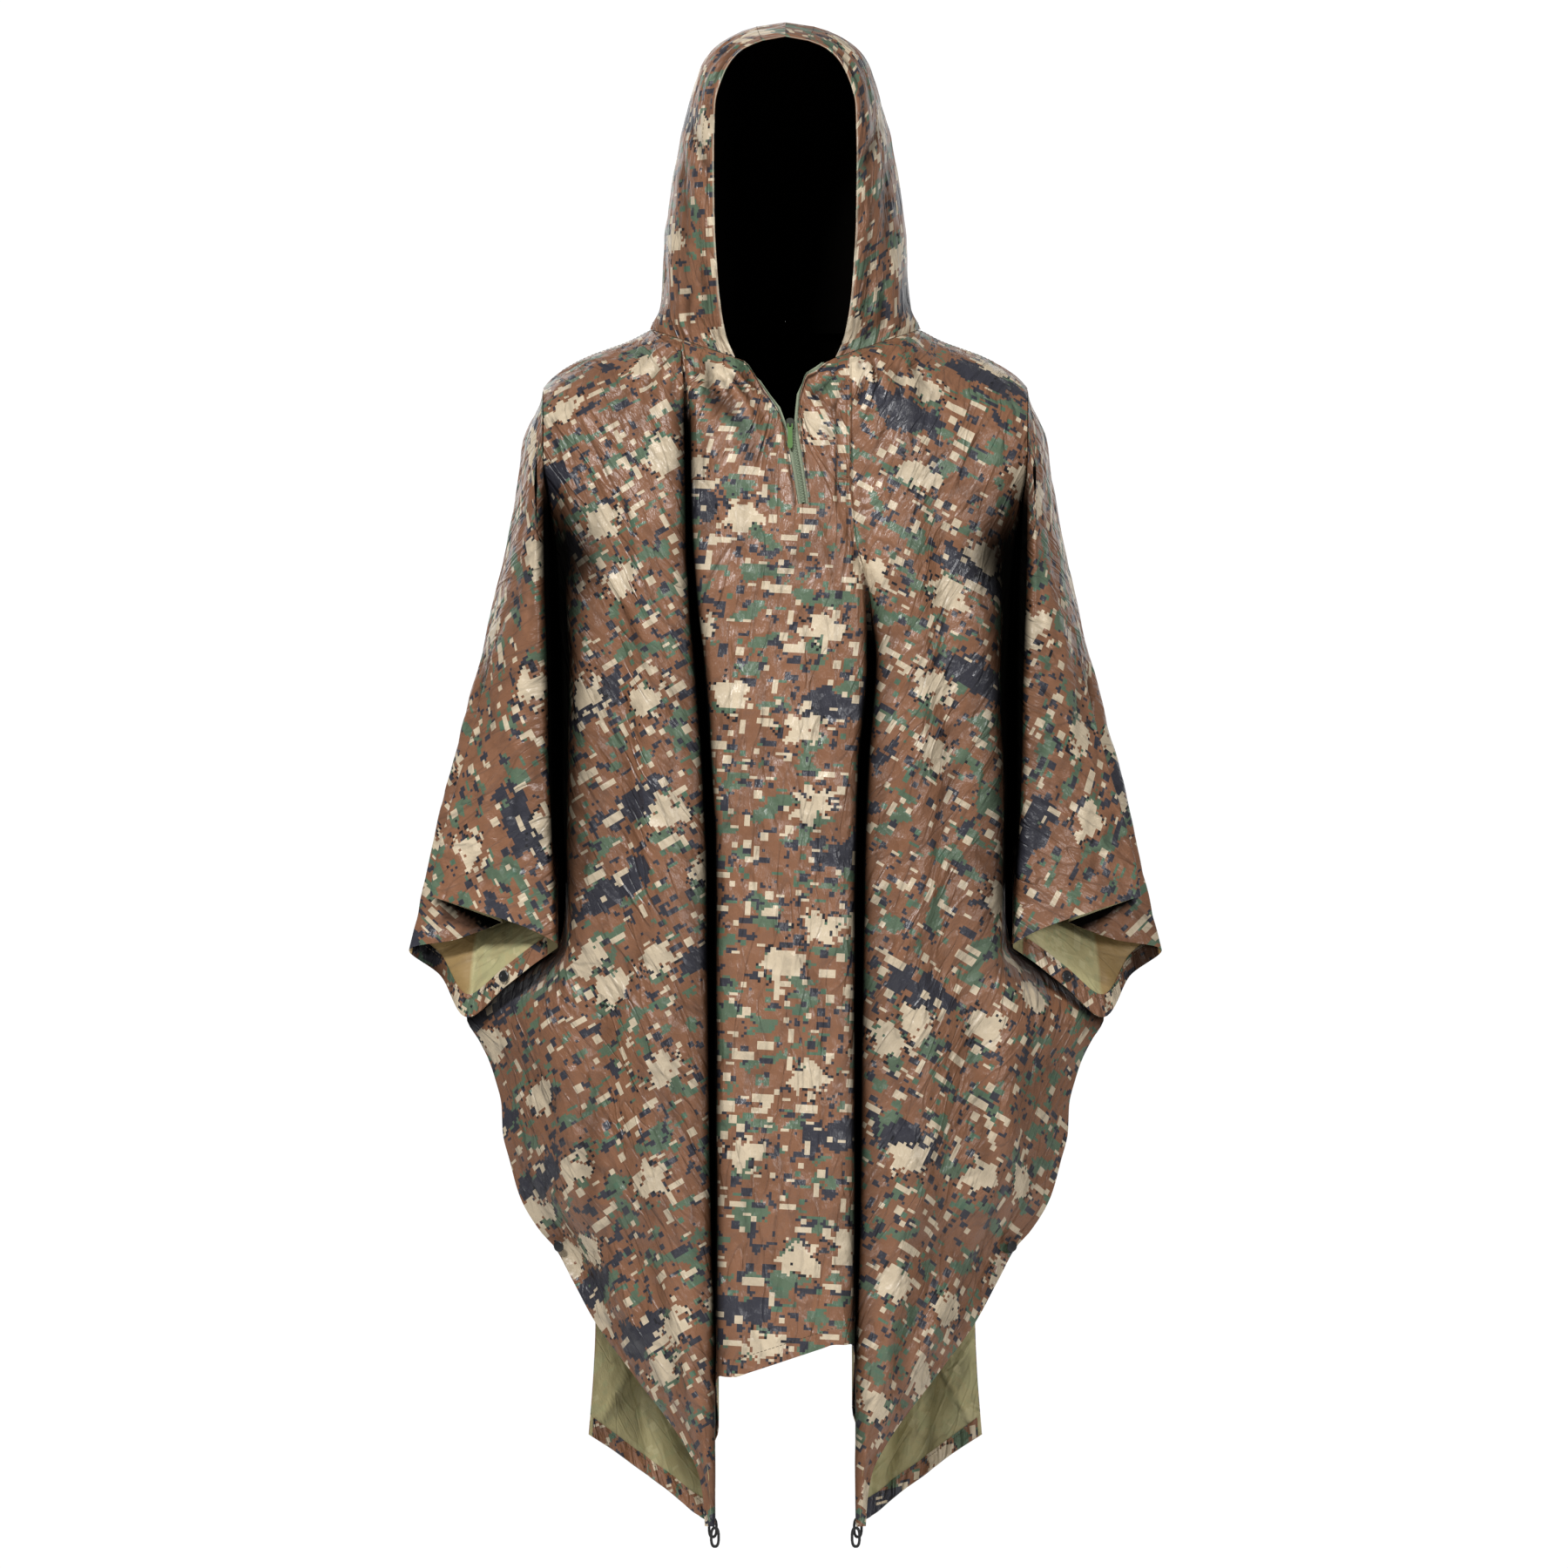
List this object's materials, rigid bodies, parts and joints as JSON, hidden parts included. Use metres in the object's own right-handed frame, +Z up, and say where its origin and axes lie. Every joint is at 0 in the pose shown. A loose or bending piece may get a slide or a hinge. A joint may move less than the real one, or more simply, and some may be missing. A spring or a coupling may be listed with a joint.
{
  "type": "hooded rain poncho",
  "caption": "Hooded pullover rain poncho, worn and hollow, with neck zip, deep side pleats, draped cuffs, side snaps and corner loops.",
  "frame": {"origin": "base of the neck, on the middle plane between the shoulders, where the wearer's shoulders hold the poncho up", "axes": "+Z up, the front faces -Y, +X is the wearer's left"},
  "size_m": [0.739, 0.2826, 1.4903],
  "materials": {
    "printed_cloth": "coated polyester, soft sheen, printed camouflage outside and plain khaki inside",
    "zip_tape": "woven tape, grey-green",
    "zip_chain": "moulded teeth and slider, olive",
    "zip_pull": "painted tab, olive green",
    "black_fittings": "black snaps and cord"
  },
  "bodies": {
    "poncho": {"front_panel": "printed_cloth", "back_panel": "printed_cloth", "sleeve_left": "printed_cloth", "sleeve_right": "printed_cloth", "hood_left": "printed_cloth", "hood_right": "printed_cloth", "hood_rim_left": "printed_cloth", "hood_rim_right": "printed_cloth", "hem_front": "printed_cloth", "hem_back": "printed_cloth", "hem_cuff_left": "printed_cloth", "hem_cuff_right": "printed_cloth", "zip_tape_left": "zip_tape", "zip_tape_right": "zip_tape", "zip_chain": "zip_chain", "zip_slider": "zip_chain", "snap_cuff_back_left": "black_fittings", "snap_cuff_back_right": "black_fittings", "snap_cuff_front_left": "black_fittings", "snap_cuff_front_right": "black_fittings", "snap_side_front_left": "black_fittings", "snap_side_front_right": "black_fittings", "snap_side_back_left": "black_fittings", "snap_side_back_right": "black_fittings", "loop_front_left": "black_fittings", "loop_front_right": "black_fittings", "loop_back_left": "black_fittings", "loop_back_right": "black_fittings"},
    "pull_tab": {"zip_pull": "zip_pull"}
  },
  "joints": [
    {"name": "pull_tab_turn", "type": "hinge", "parent": "poncho", "child": "pull_tab", "pos_m": [0.0046, -0.11826, -0.07584], "axis": [-1, 0, 0], "range_deg": [0, 150]}
  ]
}
